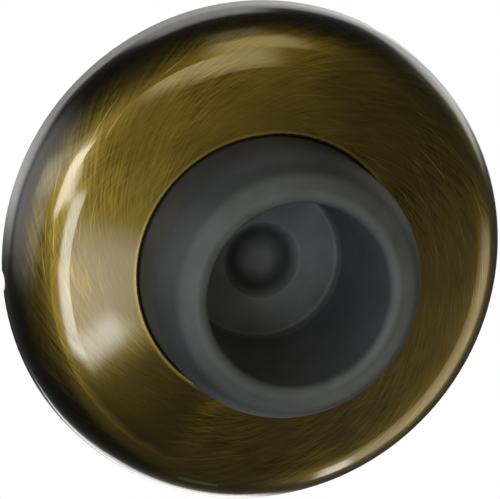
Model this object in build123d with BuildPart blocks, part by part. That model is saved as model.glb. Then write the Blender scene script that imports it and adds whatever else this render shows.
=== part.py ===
from build123d import *
from math import acos, asin, cos, degrees, radians, sin, sqrt, tan
import os

# Concave wall bumper: a pressed brass rose, a rubber cup that stands in its hole, and a steel wall plate.
# Millimetres. The wall is the plane Y = 0, the bumper stands out of it along -Y, and +Z is up.

# Rose, pressed from brass sheet
rose_diameter = 63.5
rose_sheet = 1.0
skirt_lean = 5.0  # degrees that the skirt leans in from square to the wall
crown_radius = 95.0
crown_top = 11.7  # where the curve of the crown would meet the axis
crown_margin = 6.75  # from the rim in to where the crown starts to roll off
roll_radius = 20.0
shoulder_radius = 7.0
hole_diameter = 33.6
hole_edge_radius = 0.3

# Dents staked into the rim, which grip the edge of the plate
dent_angles = (59.5, 183.5, 301.5)  # degrees about the axis, seen from the front, from +X up towards +Z
dent_radius = 4.0
dent_clearance = 0.05  # off the edge of the plate

# Mounting plate, flat on the wall
plate_thickness = 1.0
plate_clearance = 0.2  # inside the skirt
plate_edge_radius = 0.3
screw_hole_diameter = 4.8

# Rubber bumper
body_clearance = 0.15  # inside the hole of the rose
lip_radius = 7.5
lip_top = 24.8  # where the outer curve of the lip would level out
mouth_diameter = 22.9
mouth_edge_radius = 1.2
floor_diameter = 19.6
floor_height = 4.6  # at the wall of the cup
floor_corner_radius = 0.4
cone_height = 0.8  # that the floor rises from the wall to the edge of the dish
dish_diameter = 9.7
dish_edge_radius = 0.5
dish_depth = 1.9
dish_base_diameter = 6.4  # where the dish is deepest, round the foot of the nub
dish_base_radius = 1.3
nub_diameter = 2.6  # over the flat top, before its edge is rounded
nub_height = 1.0  # above the bottom of the dish
nub_edge_radius = 2.0
collar_diameter = 41.0
collar_thickness = 2.5
collar_clearance = 0.1  # under the crown
collar_edge_radius = 0.5
head_pocket_diameter = 8.4  # room for the head of the wall screw
head_pocket_depth = 2.2

# Section plane: x is the radius and y is the height off the wall. The wall plane faces the room.
section = Plane(origin=(0, 0, 0), x_dir=(1, 0, 0), z_dir=(0, 0, -1))
wall = Plane(origin=(0, 0, 0), x_dir=(1, 0, 0), z_dir=(0, -1, 0))

rose_radius = rose_diameter / 2
hole_radius = hole_diameter / 2
lean = radians(skirt_lean)
crown_centre = crown_top - crown_radius
crown_reach = asin((rose_radius - crown_margin) / crown_radius)
roll_start = (crown_radius * sin(crown_reach), crown_centre + crown_radius * cos(crown_reach))
roll_drop = crown_radius - roll_radius  # from the centre of the crown out to the centre of the roll
roll_centre = (roll_drop * sin(crown_reach), crown_centre + roll_drop * cos(crown_reach))
plate_radius = rose_radius - plate_thickness * tan(lean) - rose_sheet / cos(lean) - plate_clearance
dent_centre = plate_radius + dent_clearance + rose_sheet + dent_radius
dent_points = [
    (dent_centre * cos(radians(angle)), 0, dent_centre * sin(radians(angle))) for angle in dent_angles
]

# Outer line of the rose, run on past the rim and past the edge of the hole, so that both are trimmed square
with BuildLine() as rose_line:
    roll_sweep = CenterArc(roll_centre, roll_radius, 90, -90, mode=Mode.PRIVATE)
    rim_below = (rose_radius + rose_sheet * tan(lean), -rose_sheet)
    skirt = IntersectingLine(rim_below, (-sin(lean), cos(lean)), roll_sweep)
    roll = RadiusArc(skirt @ 1, roll_start, -roll_radius)
    crown = RadiusArc(roll @ 1, (0, crown_top), -crown_radius)
    fillet(rose_line.vertices().sort_by_distance(skirt @ 1)[0], radius=shoulder_radius)

# Backs of the dents, where the sheet bulges in, inside the outer face of the rose
with BuildPart() as dent_backs:
    with Locations(*dent_points):
        Sphere(dent_radius + rose_sheet)
    with BuildSketch(section):
        with BuildLine():
            add(rose_line.line)
            Polyline(crown @ 1, (0, -rose_sheet), skirt @ 0)
        make_face()
    revolve(axis=Axis.Y, mode=Mode.INTERSECT)
    split(bisect_by=wall, keep=Keep.TOP)

with BuildPart() as rose:
    with BuildSketch(section) as sheet_section:
        with BuildLine():
            add(rose_line.line)
            offset(amount=rose_sheet, side=Side.LEFT)
        make_face()
        with Locations((hole_radius, 0)):
            Rectangle(rose_radius, crown_top, align=(Align.MIN, Align.MIN), mode=Mode.INTERSECT)
        hole_corner = sheet_section.vertices().group_by(Axis.X)[0].sort_by(Axis.Y)[-1]
        fillet(hole_corner, radius=hole_edge_radius)
    revolve(axis=Axis.Y)
    add(dent_backs.part)
    with Locations(*dent_points):
        Sphere(dent_radius, mode=Mode.SUBTRACT)
rose.part.label = "rose"

with BuildPart() as mounting_plate:
    with BuildSketch(wall):
        Circle(plate_radius)
    extrude(amount=plate_thickness)
    fillet(mounting_plate.edges().sort_by(Axis.Y)[0], radius=plate_edge_radius)
    with Locations(wall):
        Hole(screw_hole_diameter / 2)
mounting_plate.part.label = "mounting_plate"

body_radius = hole_radius - body_clearance
lip_start = lip_top - lip_radius
lip_centre = body_radius - lip_radius
lip_sweep = degrees(acos((mouth_diameter / 2 - lip_centre) / lip_radius))
collar_radius = collar_diameter / 2
collar_top = crown_centre + sqrt((crown_radius - rose_sheet) ** 2 - collar_radius**2) - collar_clearance
collar_base = collar_top - collar_thickness
floor_corner = (floor_diameter / 2, floor_height)
dish_edge = (dish_diameter / 2, floor_height + cone_height)
dish_bottom = floor_height + cone_height - dish_depth
dish_base = (dish_base_diameter / 2, dish_bottom)
nub_top = dish_bottom + nub_height
nub_edge = (nub_diameter / 2, nub_top)
pocket_top = plate_thickness + head_pocket_depth

# One moulding: the cup with its cone, dish and nub, the collar behind the rose, and room for the screw head
with BuildPart() as bumper:
    with BuildSketch(section) as bumper_section:
        with BuildLine():
            back = Polyline(
                (0, pocket_top),
                (head_pocket_diameter / 2, pocket_top),
                (head_pocket_diameter / 2, plate_thickness),
                (body_radius, plate_thickness),
                (body_radius, collar_base),
                (collar_radius, collar_base),
                (collar_radius, collar_top),
                (body_radius, collar_top),
                (body_radius, lip_start),
            )
            lip = CenterArc((lip_centre, lip_start), lip_radius, 0, lip_sweep)
            Polyline(lip @ 1, floor_corner, dish_edge, dish_base, nub_edge, (0, nub_top), back @ 0)
        make_face()
        rounded_corners = (
            (lip @ 1, mouth_edge_radius),
            (floor_corner, floor_corner_radius),
            (dish_edge, dish_edge_radius),
            (dish_base, dish_base_radius),
            (nub_edge, nub_edge_radius),
        )
        for corner, corner_radius in rounded_corners:
            fillet(bumper_section.vertices().sort_by_distance(corner)[0], radius=corner_radius)
        fillet(bumper_section.vertices().group_by(Axis.X)[-1], radius=collar_edge_radius)
    revolve(axis=Axis.Y)
bumper.part.label = "bumper"

os.makedirs("parts", exist_ok=True)
export_step(rose.part, "parts/rose.step")
export_step(bumper.part, "parts/bumper.step")
export_step(mounting_plate.part, "parts/mounting_plate.step")
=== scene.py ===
import math
import bpy
import bmesh
from mathutils import Matrix, Vector

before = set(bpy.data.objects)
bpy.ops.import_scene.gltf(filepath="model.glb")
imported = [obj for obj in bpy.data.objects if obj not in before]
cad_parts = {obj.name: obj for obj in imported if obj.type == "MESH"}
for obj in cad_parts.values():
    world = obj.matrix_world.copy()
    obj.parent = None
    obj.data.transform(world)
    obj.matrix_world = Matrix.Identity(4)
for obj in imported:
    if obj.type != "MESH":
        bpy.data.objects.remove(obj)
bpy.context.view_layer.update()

scene = bpy.context.scene
scene.view_settings.view_transform = "Standard"
print("frame loaded:", ", ".join(sorted(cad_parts)))


# camera, found from the rim of the rose and the lip of the rubber
cameraSetup = {
    "azimuth": -14.44,
    "elevation": 13.99,
    "distance": 0.55,
    "lens": 316.8,
    "sensor": 36.0,
    "shift": (-0.0024, 0.0014),
    "clip": (0.01, 20.0),
}


# direction seen from the piece, in degrees: to the right of straight ahead, and up from level
def lookFrom(azimuth, elevation):
    turn, rise = math.radians(azimuth), math.radians(elevation)
    return Vector((math.sin(turn) * math.cos(rise), -math.cos(turn) * math.cos(rise), math.sin(rise)))


def addCamera(setup):
    data = bpy.data.cameras.new("camera")
    data.lens = setup["lens"]
    data.sensor_width = setup["sensor"]
    data.shift_x, data.shift_y = setup["shift"]
    data.clip_start, data.clip_end = setup["clip"]
    camera = bpy.data.objects.new("camera", data)
    scene.collection.objects.link(camera)
    away = lookFrom(setup["azimuth"], setup["elevation"])
    camera.location = away * setup["distance"]
    camera.rotation_euler = (-away).to_track_quat("-Z", "Y").to_euler()
    scene.camera = camera


addCamera(cameraSetup)
print("camera placed")


# node helpers
noiseSpan = (0.3, 0.7)  # where most values of a noise lie


def addNode(tree, kind, at, **settings):
    node = tree.nodes.new("ShaderNode" + kind)
    node.location = at
    for name, value in settings.items():
        setattr(node, name, value)
    return node


def feed(tree, source, socket):
    if isinstance(source, bpy.types.NodeSocket):
        tree.links.new(source, socket)
    else:
        socket.default_value = source


def doMath(tree, operation, at, *sources, clamp=False):
    node = addNode(tree, "Math", at, operation=operation, use_clamp=clamp)
    for source, socket in zip(sources, node.inputs):
        feed(tree, source, socket)
    return node.outputs[0]


def mapRange(tree, at, value, low, high, toLow=0.0, toHigh=1.0, curve="SMOOTHSTEP"):
    node = addNode(tree, "MapRange", at, interpolation_type=curve)
    for source, socket in zip((value, low, high, toLow, toHigh), node.inputs):
        feed(tree, source, socket)
    return node.outputs[0]


def mixValue(tree, at, amount, first, second):
    node = addNode(tree, "Mix", at)
    for source, index in ((amount, 0), (first, 2), (second, 3)):
        feed(tree, source, node.inputs[index])
    return node.outputs[0]


def mixColour(tree, at, amount, first, second, blend="MIX"):
    node = addNode(tree, "Mix", at, data_type="RGBA", blend_type=blend)
    for source, index in ((amount, 0), (first, 6), (second, 7)):
        feed(tree, source, node.inputs[index])
    return node.outputs[2]


def addNoise(tree, at, place, scale, detail):
    node = addNode(tree, "TexNoise", at)
    node.inputs["Scale"].default_value = scale
    node.inputs["Detail"].default_value = detail
    tree.links.new(place, node.inputs["Vector"])
    return node.outputs[0]


def addBump(tree, at, shader, height, strength, distance):
    node = addNode(tree, "Bump", at)
    node.inputs["Strength"].default_value = strength
    node.inputs["Distance"].default_value = distance
    tree.links.new(height, node.inputs["Height"])
    tree.links.new(node.outputs[0], shader.inputs["Normal"])


def splitAxes(tree, at, place):
    node = addNode(tree, "SeparateXYZ", at)
    tree.links.new(place, node.inputs[0])
    return node.outputs


def newGroup(name, vectors, values, outputs):
    tree = bpy.data.node_groups.new(name, "ShaderNodeTree")
    for socketName in vectors:
        tree.interface.new_socket(socketName, in_out="INPUT", socket_type="NodeSocketVector")
    for socketName in values:
        tree.interface.new_socket(socketName, in_out="INPUT", socket_type="NodeSocketFloat")
    for socketName in outputs:
        tree.interface.new_socket(socketName, in_out="OUTPUT", socket_type="NodeSocketFloat")
    start = tree.nodes.new("NodeGroupInput")
    end = tree.nodes.new("NodeGroupOutput")
    start.location, end.location = (-1200, 0), (900, 0)
    return tree, start.outputs, end.inputs


def placeGroup(tree, group, at, **sources):
    node = addNode(tree, "Group", at, node_tree=group)
    for name, source in sources.items():
        feed(tree, source, node.inputs[name])
    return node.outputs


def newMaterial(name):
    material = bpy.data.materials.new(name)
    material.use_nodes = True
    tree = material.node_tree
    tree.nodes.clear()
    shader = addNode(tree, "BsdfPrincipled", (600, 0))
    output = addNode(tree, "OutputMaterial", (900, 0))
    tree.links.new(shader.outputs[0], output.inputs[0])
    return material, shader


def objectPlace(tree):
    return addNode(tree, "TexCoord", (-1600, 0)).outputs["Object"]


# where a point is on a round piece: radius, height off the wall, and turn about the axis
# the turn jumps at the left, so a second one jumps at the right, and Side says which to read
def makeRoundPlace():
    sideBlend = 0.004
    tree, inside, outside = newGroup(
        "roundPlace", ["Place"], [], ["Radius", "Height", "Turn", "Turn Back", "Side"]
    )
    x, y, z = splitAxes(tree, (-1000, 0), inside["Place"])
    flat = addNode(tree, "CombineXYZ", (-800, 200))
    tree.links.new(x, flat.inputs[0])
    tree.links.new(z, flat.inputs[2])
    length = addNode(tree, "VectorMath", (-600, 200), operation="LENGTH")
    tree.links.new(flat.outputs[0], length.inputs[0])
    tree.links.new(length.outputs["Value"], outside["Radius"])
    tree.links.new(doMath(tree, "MULTIPLY", (-600, 50), y, -1.0), outside["Height"])
    tree.links.new(doMath(tree, "ARCTAN2", (-600, -100), z, x), outside["Turn"])
    xBack = doMath(tree, "MULTIPLY", (-800, -250), x, -1.0)
    zBack = doMath(tree, "MULTIPLY", (-800, -400), z, -1.0)
    tree.links.new(doMath(tree, "ARCTAN2", (-600, -300), zBack, xBack), outside["Turn Back"])
    tree.links.new(mapRange(tree, (-600, -500), x, sideBlend, -sideBlend), outside["Side"])
    return tree


# fine strokes that run round the axis at a slant, alike at every radius
def makeBrushStrokes():
    tree, inside, outside = newGroup(
        "brushStrokes", [],
        ["Radius", "Turn", "Turn Back", "Side", "Slant", "Per Turn", "Fineness", "Seed"],
        ["Strokes"],
    )
    logRadius = doMath(tree, "LOGARITHM", (-1000, 300), inside["Radius"], math.e)
    cosine = doMath(tree, "COSINE", (-1000, 100), inside["Slant"])
    sine = doMath(tree, "SINE", (-1000, -100), inside["Slant"])
    layers = []
    for turn, low in ((inside["Turn"], 300), (inside["Turn Back"], -300)):
        along = doMath(tree, "ADD", (-600, low),
                       doMath(tree, "MULTIPLY", (-800, low), turn, cosine),
                       doMath(tree, "MULTIPLY", (-800, low - 150), logRadius, sine))
        across = doMath(tree, "SUBTRACT", (-600, low - 150),
                        doMath(tree, "MULTIPLY", (-800, low - 300), logRadius, cosine),
                        doMath(tree, "MULTIPLY", (-800, low - 450), turn, sine))
        drawnOut = doMath(tree, "MULTIPLY", (-400, low), along, inside["Per Turn"])
        packed = doMath(tree, "MULTIPLY", (-400, low - 150), across, inside["Fineness"])
        place = addNode(tree, "CombineXYZ", (-200, low))
        for source, socket in zip((drawnOut, packed, inside["Seed"]), place.inputs):
            tree.links.new(source, socket)
        layers.append(addNoise(tree, (0, low), place.outputs[0], 1.0, 1.0))
    tree.links.new(mixValue(tree, (300, 0), inside["Side"], *layers), outside["Strokes"])
    return tree


roundPlace = makeRoundPlace()
brushStrokes = makeBrushStrokes()
print("node groups made")


# rose: brushed brass, darkened, relieved by hand and lacquered
# bands are metres, tones run from dark at 0 to gold at 1
brassLook = {
    "dark": (0.074, 0.052, 0.008, 1),
    "gold": (0.205, 0.146, 0.023, 1),
    # blackened finish, and near the rim a painted dark reflection
    "blackOxideAndShade": (0.016, 0.012, 0.006, 1),
    "bright": (0.44, 0.32, 0.060, 1),
    "relieved": (0.46, 0.34, 0.07, 1),
    # painted shade: darker brass over the lower left of the rose
    "paintedShaded": (0.038, 0.027, 0.005, 1),
    "strokes": {
        # name: slant in radians, repeats per radian of turn, fineness across, seed
        "around": (0.03, 3.0, 80.0, 1.0),
        "slanted": (-0.38, 4.5, 100.0, 5.0),
        "counter": (0.30, 4.5, 92.0, 9.0),
        "hairs": (-0.16, 2.4, 120.0, 13.0),
    },
    "strokeShare": (0.6, 0.4),  # slanted, and the other two crossed
    "strokeSpan": (0.33, 0.72),
    "hairSpan": (0.62, 0.78),
    "cloud": (130.0, 3.0),  # scale and detail
    "cloudTone": (-0.16, 0.12),
    "patch": (75.0, 2.0),
    "patchSpan": (0.36, 0.64),
    "patchStrength": (0.35, 1.5),  # of the strokes
    "tone": 0.45,
    # painted light: the right side of the rose is made more golden
    "rightBand": (0.010, 0.027),
    "rightPaintedLight": 0.35,
    "ring": (0.0260, 0.0276, 0.0280, 0.0294),  # rises, then falls
    "ringTone": 0.30,
    "paintedShadeToward": (-0.695, -0.719),  # lower left
    "paintedShadeBand": (0.93, 0.99),  # cosines of the angle off that line
    "paintedShadeAmount": 0.8,
    "paintedGleamTone": 0.6,  # painted glow, where the ring crosses the painted shade at the lower left
    "glint": (0.5, 0.9, 1.0),  # of the hairs: everywhere, more on the right as painted light, more on the ring and on the painted glow
    "blackAndShadeBand": (0.0290, 0.0311),
    "shadeReflectionShift": 0.0016,  # the black, partly a painted dark reflection, starts this much further out at the lower right
    "shiftBand": (-0.01, 0.03),
    "edgeBand": (0.0176, 0.0168),
    "roughness": (0.33, 0.41),
    "bump": (0.15, 0.00001),
    "coatRoughness": 0.07,
    "coatIor": 1.6,
}


def layStrokes(tree, spot, look):
    shared = {name: spot[name] for name in ("Radius", "Turn", "Turn Back", "Side")}
    strokes = {}
    for i, (name, (slant, perTurn, fineness, seed)) in enumerate(look["strokes"].items()):
        own = {"Slant": slant, "Per Turn": perTurn, "Fineness": fineness, "Seed": seed}
        layer = placeGroup(tree, brushStrokes, (-1100, 300 - 300 * i), **shared, **own)
        strokes[name] = layer["Strokes"]
    crossed = doMath(tree, "MAXIMUM", (-850, -200), strokes["around"], strokes["counter"])
    slantedShare, crossedShare = look["strokeShare"]
    mean = doMath(tree, "ADD", (-850, 200),
                  doMath(tree, "MULTIPLY", (-900, 300), strokes["slanted"], slantedShare),
                  doMath(tree, "MULTIPLY", (-900, 100), crossed, crossedShare))
    lines = mapRange(tree, (-650, 200), mean, *look["strokeSpan"], curve="LINEAR")
    hair = mapRange(tree, (-650, 400), strokes["hairs"], *look["hairSpan"])
    return lines, hair


# parts of the rose that were rubbed more or less (the ring and the hole's edge), and painted light and
# shade: a lighter right side, a painted shade and a painted glow at the lower left, and a black band near
# the rim that is blackened finish with a painted dark reflection
def markZones(tree, place, radius, look):
    axes = splitAxes(tree, (-1400, -1300), place)
    x, z = axes["X"], axes["Z"]
    right = mapRange(tree, (-1100, -1300), x, *look["rightBand"])
    inner, near, far, outer = look["ring"]
    ring = doMath(tree, "MULTIPLY", (-900, -1700),
                  mapRange(tree, (-1100, -1700), radius, inner, near),
                  mapRange(tree, (-1100, -1900), radius, outer, far))
    # painted shade: the lower left of the rose darkened, except on the ring
    sideways, upward = look["paintedShadeToward"]
    toward = doMath(tree, "MULTIPLY_ADD", (-1250, -2100), x, sideways,
                    doMath(tree, "MULTIPLY", (-1400, -2100), z, upward))
    facing = doMath(tree, "DIVIDE", (-1100, -2100), toward, radius)
    sector = mapRange(tree, (-900, -2100), facing, *look["paintedShadeBand"])
    paintedGleam = doMath(tree, "MULTIPLY", (-700, -2300), sector, ring)
    beside = doMath(tree, "SUBTRACT", (-600, -2100), sector, paintedGleam)
    paintedShade = doMath(tree, "MULTIPLY", (-500, -2100), beside, look["paintedShadeAmount"])
    # black band near the rim: blackened finish with a painted dark reflection, narrower at the lower right
    slope = doMath(tree, "SUBTRACT", (-1250, -1500), x, z)
    shift = mapRange(tree, (-1100, -1500), slope, *look["shiftBand"], 0.0, look["shadeReflectionShift"])
    reach = doMath(tree, "SUBTRACT", (-850, -1300), radius, shift)
    blackOxideAndShade = mapRange(tree, (-650, -100), reach, *look["blackAndShadeBand"])
    edge = mapRange(tree, (-650, -400), radius, *look["edgeBand"])
    return right, ring, paintedGleam, paintedShade, blackOxideAndShade, edge


def makeBrass(look):
    material, shader = newMaterial("antique_brass_brushed")
    tree = material.node_tree
    place = objectPlace(tree)
    spot = placeGroup(tree, roundPlace, (-1400, 0), Place=place)
    lines, hair = layStrokes(tree, spot, look)
    right, ring, paintedGleam, paintedShade, blackOxideAndShade, edge = markZones(tree, place, spot["Radius"], look)

    cloud = addNoise(tree, (-1100, -700), place, *look["cloud"])
    drift = mapRange(tree, (-850, -700), cloud, *noiseSpan, *look["cloudTone"])
    patch = addNoise(tree, (-1100, -1000), place, *look["patch"])
    strength = mapRange(tree, (-850, -1000), patch, *look["patchSpan"], *look["patchStrength"])
    offTone = doMath(tree, "SUBTRACT", (-650, 100), lines, look["tone"])
    swing = doMath(tree, "MULTIPLY", (-600, 0), offTone, strength)
    # painted light: the right side lifted toward gold
    level = doMath(tree, "MULTIPLY_ADD", (-800, -1300), right, look["rightPaintedLight"], look["tone"])
    level = doMath(tree, "MULTIPLY_ADD", (-650, -1300), ring, look["ringTone"], level)
    # painted glow: the ring made more golden at the lower left
    level = doMath(tree, "MULTIPLY_ADD", (-550, -1300), paintedGleam, look["paintedGleamTone"], level)
    brushedLevel = doMath(tree, "ADD", (-500, 0), swing, level)
    amount = doMath(tree, "ADD", (-450, 200), brushedLevel, drift, clamp=True)
    least, onRight, onRing = look["glint"]
    # more bright hairs on the right, as painted light
    share = doMath(tree, "MULTIPLY_ADD", (-800, -1500), right, onRight, least)
    share = doMath(tree, "MULTIPLY_ADD", (-650, -1500), ring, onRing, share)
    share = doMath(tree, "MULTIPLY_ADD", (-550, -1500), paintedGleam, onRing, share)
    deep = doMath(tree, "MULTIPLY", (-550, 400), hair, strength)
    glint = doMath(tree, "MULTIPLY", (-450, 400), deep, share, clamp=True)

    worn = mixColour(tree, (-250, 200), amount, look["dark"], look["gold"])
    scratched = mixColour(tree, (-150, 300), glint, worn, look["bright"])
    # painted shade at the lower left
    paintedShaded = mixColour(tree, (-100, 400), paintedShade, scratched, look["paintedShaded"])
    # black band near the rim, partly painted dark reflection
    blackenedAndShaded = mixColour(tree, (-50, 200), blackOxideAndShade, paintedShaded, look["blackOxideAndShade"])
    colour = mixColour(tree, (150, 200), edge, blackenedAndShaded, look["relieved"])
    rough = mapRange(tree, (150, -50), lines, 0.0, 1.0, *look["roughness"], curve="LINEAR")
    tree.links.new(colour, shader.inputs["Base Color"])
    tree.links.new(rough, shader.inputs["Roughness"])
    addBump(tree, (300, -300), shader, lines, *look["bump"])
    shader.inputs["Metallic"].default_value = 1.0
    shader.inputs["Coat Weight"].default_value = 1.0
    shader.inputs["Coat Roughness"].default_value = look["coatRoughness"]
    shader.inputs["Coat IOR"].default_value = look["coatIor"]
    return material


# bumper: dark grey rubber, moulded; the tones from the lip down to the nub are painted light and shade: a
# painted sheen on the lip, painted light on the cup's inner wall, floor and nub, and painted shade in the
# dish; bands are metres
rubberLook = {
    "wall": (0.029, 0.033, 0.034, 1),
    # painted sheen on the lip's crest
    "lip": (0.072, 0.079, 0.081, 1),
    # painted light: the cup's inner wall, floor and nub are lighter than the rubber outside
    "inner": (0.050, 0.056, 0.062, 1),
    "floor": (0.090, 0.098, 0.102, 1),
    # painted shade in the dish
    "dish": (0.014, 0.015, 0.017, 1),
    "nub": (0.086, 0.092, 0.094, 1),
    "lipBand": (0.0216, 0.0230),
    "mouthBand": (0.0118, 0.0113),
    "floorBand": (0.0066, 0.0060),
    "dishBand": (0.0050, 0.0034),
    "nubBand": (0.0034, 0.0011),
    "cloud": (260.0, 4.0),  # scale and detail
    "cloudTone": (0.88, 1.12),
    "grain": (5200.0, 2.0),
    "roughness": (0.52, 0.66),
    "dullness": 0.28,  # rougher by this much in the dish
    "dullShare": 0.5,  # of that, in the rest of the cup
    "bump": (0.3, 0.00003),
}


def makeRubber(look):
    material, shader = newMaterial("grey_rubber_moulded")
    tree = material.node_tree
    place = objectPlace(tree)
    spot = placeGroup(tree, roundPlace, (-1400, 400), Place=place)
    crest = mapRange(tree, (-1200, 1000), spot["Height"], *look["lipBand"])
    within = mapRange(tree, (-1200, 850), spot["Radius"], *look["mouthBand"])
    bottom = mapRange(tree, (-1200, 700), spot["Height"], *look["floorBand"])
    dish = mapRange(tree, (-1200, 550), spot["Radius"], *look["dishBand"])
    nub = mapRange(tree, (-1200, 400), spot["Radius"], *look["nubBand"])
    # painted sheen on the lip
    outside = mixColour(tree, (-1000, 1000), crest, look["wall"], look["lip"])
    # painted light on the floor, painted shade in the dish
    hollow = mixColour(tree, (-1000, 700), dish, look["floor"], look["dish"])
    # painted light on the nub
    middle = mixColour(tree, (-800, 600), nub, hollow, look["nub"])
    # painted light on the cup's inner wall and floor
    inside = mixColour(tree, (-600, 700), bottom, look["inner"], middle)
    base = mixColour(tree, (-400, 500), within, outside, inside)
    cloud = addNoise(tree, (-900, 200), place, *look["cloud"])
    tone = mapRange(tree, (-600, 200), cloud, *noiseSpan, *look["cloudTone"])
    shade = addNode(tree, "CombineXYZ", (-400, 200))
    for socket in shade.inputs:
        tree.links.new(tone, socket)
    colour = mixColour(tree, (-200, 300), 1.0, base, shade.outputs[0], "MULTIPLY")
    grain = addNoise(tree, (-900, -200), place, *look["grain"])
    rough = mapRange(tree, (-300, -50), grain, *noiseSpan, *look["roughness"], curve="LINEAR")
    dullest = mapRange(tree, (-400, -250), dish, 0.0, 1.0, look["dullShare"], 1.0)
    cupDull = doMath(tree, "MULTIPLY", (-200, -250), dullest, within)
    dull = doMath(tree, "MULTIPLY_ADD", (0, -50), cupDull, look["dullness"], rough)
    tree.links.new(colour, shader.inputs["Base Color"])
    tree.links.new(dull, shader.inputs["Roughness"])
    addBump(tree, (0, -300), shader, grain, *look["bump"])
    return material


# mounting plate: zinc plated steel, with the grain of the rolled sheet
steelLook = {
    "dull": (0.42, 0.42, 0.41, 1),
    "bright": (0.62, 0.62, 0.60, 1),
    "grain": (120.0, 120.0, 4200.0),
    "grainDetail": 3.0,
    "roughness": (0.46, 0.30),
}


def makeSteel(look):
    material, shader = newMaterial("plated_steel_rolled")
    tree = material.node_tree
    stretch = addNode(tree, "Mapping", (-1200, 0))
    stretch.inputs["Scale"].default_value = look["grain"]
    tree.links.new(objectPlace(tree), stretch.inputs["Vector"])
    grain = addNoise(tree, (-900, 0), stretch.outputs[0], 1.0, look["grainDetail"])
    tone = mapRange(tree, (-600, 200), grain, *noiseSpan)
    colour = mixColour(tree, (-300, 200), tone, look["dull"], look["bright"])
    rough = mapRange(tree, (-300, -50), tone, 0.0, 1.0, *look["roughness"], curve="LINEAR")
    tree.links.new(colour, shader.inputs["Base Color"])
    tree.links.new(rough, shader.inputs["Roughness"])
    shader.inputs["Metallic"].default_value = 1.0
    return material


def dress(nodeName, material):
    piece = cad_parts[nodeName]
    for slot in piece.material_slots:
        slot.link = "OBJECT"
        slot.material = material


dress("rose", makeBrass(brassLook))
dress("bumper", makeRubber(rubberLook))
dress("mounting_plate", makeSteel(steelLook))
print("materials dressed")


# studio: a dim room with white behind the piece, and soft panels of light all round it, in degrees
studioSetup = {
    "room": 0.04,
    "white": (172.0, 12.0, 28.0, 36.0),  # azimuth, elevation, full within, gone past
    "warm": (1.0, 0.88, 0.50),
    "panels": {
        # name: azimuth, elevation, width, height, roll, softness of the edge, radiance, warmth
        "edgeHigh": (-21.7, -5.0, 6.0, 12.0, -10.0, 1.6, 7.2, 0.0),
        "edgeNear": (-22.8, -20.0, 6.0, 18.0, 4.0, 1.6, 7.2, 0.0),
        "frontLeft": (-14.5, -15.5, 14.0, 17.0, -14.0, 4.5, 2.6, 0.0),
        "front": (-14.8, -25.6, 4.6, 11.0, -45.0, 1.8, 5.4, 0.0),
        "upLeft": (-32.5, 9.0, 17.0, 17.0, 0.0, 2.0, 7.5, 0.0),
        "glow": (-62.0, 18.0, 60.0, 13.0, 0.0, 4.0, 1.3, 0.0),
        "topNear": (3.0, 25.5, 26.0, 10.0, 0.0, 4.0, 2.7, 0.9),
        "top": (17.0, 46.0, 22.0, 20.0, 0.0, 5.0, 2.05, 0.9),
        "over": (15.0, 68.0, 16.0, 16.0, 0.0, 4.0, 0.6, 0.5),
        "rightLow": (86.0, -36.0, 27.0, 52.0, 0.0, 6.0, 1.2, 0.4),
        "rightSoft": (68.0, -32.0, 60.0, 42.0, 0.0, 14.0, 0.16, 1.0),
        "edgeLow": (92.0, -63.0, 23.0, 6.0, 0.0, 1.5, 3.6, 0.0),
        "rightBack": (131.0, 14.0, 38.0, 24.0, 0.0, 6.0, 1.6, 0.0),
        "backTop": (180.0, 50.0, 30.0, 22.0, 0.0, 6.0, 1.4, 0.0),
        "backLow": (178.0, -42.0, 26.0, 28.0, 0.0, 3.0, 2.0, 0.0),
        "left": (-92.0, 11.0, 70.0, 42.0, 0.0, 16.0, 1.4, 0.0),
        "highLeft": (-147.0, 5.0, 26.0, 24.0, 0.0, 8.0, 1.5, 0.0),
        # lights the cup, and is hidden from most of the crown by the rubber
        "fill": (6.0, -8.5, 12.0, 12.0, 0.0, 3.0, 5.0, 0.0),
    },
    "floorDrop": 2.0,
    "floorSize": 0.15,
    "floorColour": (0.82, 0.82, 0.81, 1),
    "floorRoughness": 0.8,
}


# how much of a panel lies in a direction, from its offset across and up from the panel's middle
def makeSoftPanel():
    tree, inside, outside = newGroup(
        "softPanel",
        ["Direction", "Middle", "Across", "Upward"],
        ["Width", "Height", "Softness"],
        ["Mask"],
    )

    def reach(axis, at):
        node = addNode(tree, "VectorMath", at, operation="DOT_PRODUCT")
        tree.links.new(inside["Direction"], node.inputs[0])
        tree.links.new(inside[axis], node.inputs[1])
        return node.outputs["Value"]

    ahead = reach("Middle", (-900, 300))
    mask = doMath(tree, "GREATER_THAN", (-700, 300), ahead, 0.0)
    for axis, size, low in (("Across", "Width", 0), ("Upward", "Height", -300)):
        slant = doMath(tree, "DIVIDE", (-700, low), reach(axis, (-900, low)), ahead)
        offset = doMath(tree, "ABSOLUTE", (-500, low), slant)
        outer = doMath(tree, "ADD", (-500, low - 100), inside[size], inside["Softness"])
        inner = doMath(tree, "SUBTRACT", (-500, low - 200), inside[size], inside["Softness"])
        mask = doMath(tree, "MULTIPLY", (100, low), mask, mapRange(tree, (-200, low), offset, outer, inner))
    tree.links.new(mask, outside["Mask"])
    return tree


def addPanel(tree, at, direction, total, warm, panel):
    azimuth, elevation, width, height, roll, softness, radiance, warmth = panel
    middle = lookFrom(azimuth, elevation)
    turn = (-middle).to_track_quat("-Z", "Y").to_matrix() @ Matrix.Rotation(math.radians(roll), 3, "Z")
    spread = placeGroup(
        tree, softPanel, at, Direction=direction, Middle=middle, Across=turn.col[0], Upward=turn.col[1],
        Width=math.tan(math.radians(width / 2)), Height=math.tan(math.radians(height / 2)),
        Softness=math.tan(math.radians(softness)),
    )
    light = addNode(tree, "VectorMath", (at[0] + 200, at[1]), operation="MULTIPLY_ADD")
    tree.links.new(spread["Mask"], light.inputs[0])
    colour = Vector((1.0, 1.0, 1.0)).lerp(Vector(warm), warmth)
    light.inputs[1].default_value = colour * radiance
    feed(tree, total, light.inputs[2])
    return light.outputs[0]


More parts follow.
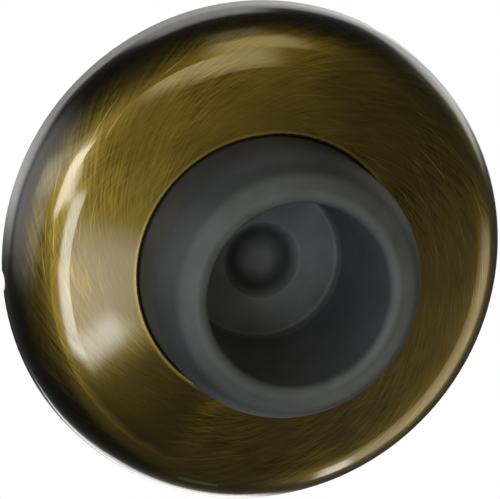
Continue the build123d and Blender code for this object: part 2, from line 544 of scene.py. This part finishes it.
# the camera sees white everywhere, reflections see it only behind the piece
def maskWhite(tree, direction, azimuth, elevation, full, gone):
    facing = addNode(tree, "VectorMath", (-700, 200), operation="DOT_PRODUCT")
    tree.links.new(direction, facing.inputs[0])
    facing.inputs[1].default_value = lookFrom(azimuth, elevation)
    limits = (math.cos(math.radians(gone)), math.cos(math.radians(full)))
    behind = mapRange(tree, (-500, 200), facing.outputs["Value"], *limits)
    rays = addNode(tree, "LightPath", (-900, -200)).outputs
    mirrored = doMath(tree, "ADD", (-500, -100), rays["Is Glossy Ray"], rays["Is Transmission Ray"])
    mirroredBehind = doMath(tree, "MULTIPLY", (-300, 0), mirrored, behind)
    return doMath(tree, "ADD", (-100, 0), rays["Is Camera Ray"], mirroredBehind, clamp=True)


def makeWorld(setup):
    world = bpy.data.worlds.new("studio")
    world.use_nodes = True
    scene.world = world
    tree = world.node_tree
    tree.nodes.clear()
    direction = addNode(tree, "TexCoord", (-900, 200)).outputs["Generated"]
    total = (setup["room"], setup["room"], setup["room"])
    for i, panel in enumerate(setup["panels"].values()):
        total = addPanel(tree, (-600, 600 + 250 * i), direction, total, setup["warm"], panel)
    room = addNode(tree, "Background", (-100, -200))
    tree.links.new(total, room.inputs["Color"])
    white = addNode(tree, "Background", (-100, -350))
    white.inputs["Color"].default_value = (1.0, 1.0, 1.0, 1)
    mixed = addNode(tree, "MixShader", (150, 0))
    output = addNode(tree, "OutputWorld", (350, 0))
    tree.links.new(maskWhite(tree, direction, *setup["white"]), mixed.inputs[0])
    tree.links.new(room.outputs[0], mixed.inputs[1])
    tree.links.new(white.outputs[0], mixed.inputs[2])
    tree.links.new(mixed.outputs[0], output.inputs[0])


def addFloor(setup):
    mesh = bpy.data.meshes.new("floor")
    shape = bmesh.new()
    bmesh.ops.create_grid(shape, x_segments=1, y_segments=1, size=setup["floorSize"])
    shape.to_mesh(mesh)
    shape.free()
    floor = bpy.data.objects.new("floor", mesh)
    floor.location.z = -setup["floorDrop"]
    scene.collection.objects.link(floor)
    material, shader = newMaterial("floor_plain")
    shader.inputs["Base Color"].default_value = setup["floorColour"]
    shader.inputs["Roughness"].default_value = setup["floorRoughness"]
    mesh.materials.append(material)


softPanel = makeSoftPanel()
addFloor(studioSetup)
makeWorld(studioSetup)
print("studio lit")
